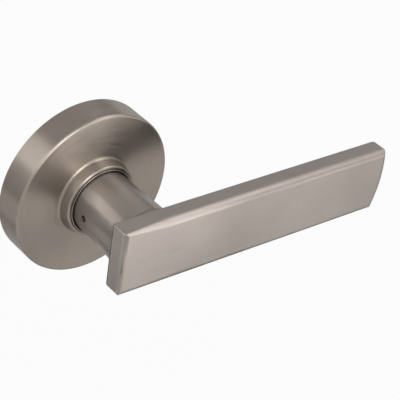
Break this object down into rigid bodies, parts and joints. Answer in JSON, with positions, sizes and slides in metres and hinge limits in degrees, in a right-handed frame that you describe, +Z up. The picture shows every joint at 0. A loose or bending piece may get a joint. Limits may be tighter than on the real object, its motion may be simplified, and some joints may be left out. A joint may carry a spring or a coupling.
{
  "type": "door lever handle",
  "caption": "Door lever on a round rose with a raised collar: flat slab lever on a sprung turning tube, with a square socket for the spindle and holes for through screws.",
  "frame": {"origin": "on the spindle's axis, in the plane of the door's face", "axes": "+Y into the door along the spindle's axis, the room towards -Y, +X along the lever at rest, +Z up"},
  "size_m": [0.1438, 0.0562, 0.066],
  "materials": {
    "satin_nickel": "satin nickel, fine brushed grain, lathe-turned on the rose",
    "zinc_plated_steel": "bright zinc-plated pressed steel",
    "spring_steel": "oiled spring steel",
    "nylon": "moulded black nylon"
  },
  "bodies": {
    "rose": {"rose_cover": "satin_nickel", "neck_sleeve": "satin_nickel", "mounting_plate": "zinc_plated_steel", "spring_cage": "zinc_plated_steel", "cage_rivets": "zinc_plated_steel", "rose_snap_ring": "spring_steel", "hub_bush": "nylon", "spring_anchor": "zinc_plated_steel", "stop_pins": "zinc_plated_steel", "centring_ring": "nylon", "return_spring": "spring_steel"},
    "lever": {"lever": "satin_nickel", "drive_tube": "zinc_plated_steel", "drive_plate": "zinc_plated_steel", "drive_plate_ring": "spring_steel", "tube_washer": "zinc_plated_steel", "tube_retaining_ring": "spring_steel", "spindle_adapter": "zinc_plated_steel", "adapter_pin": "zinc_plated_steel", "catch_spring": "spring_steel"},
    "catch": {"lever_catch": "zinc_plated_steel"}
  },
  "joints": [
    {"name": "lever_turn", "type": "hinge", "parent": "rose", "child": "lever", "pos_m": [0, 0, 0], "axis": [0, 1, 0], "range_deg": [-50, 50], "stiffness_Nm_per_rad": 1, "springref_deg": -5.56, "deforming": ["return_spring"]},
    {"name": "catch_press", "type": "slide", "parent": "lever", "child": "catch", "axis": [1, 0, 0], "range_m": [0, 0.0016], "stiffness_N_per_m": 800, "springref_m": -0.001, "deforming": ["catch_spring"]}
  ]
}
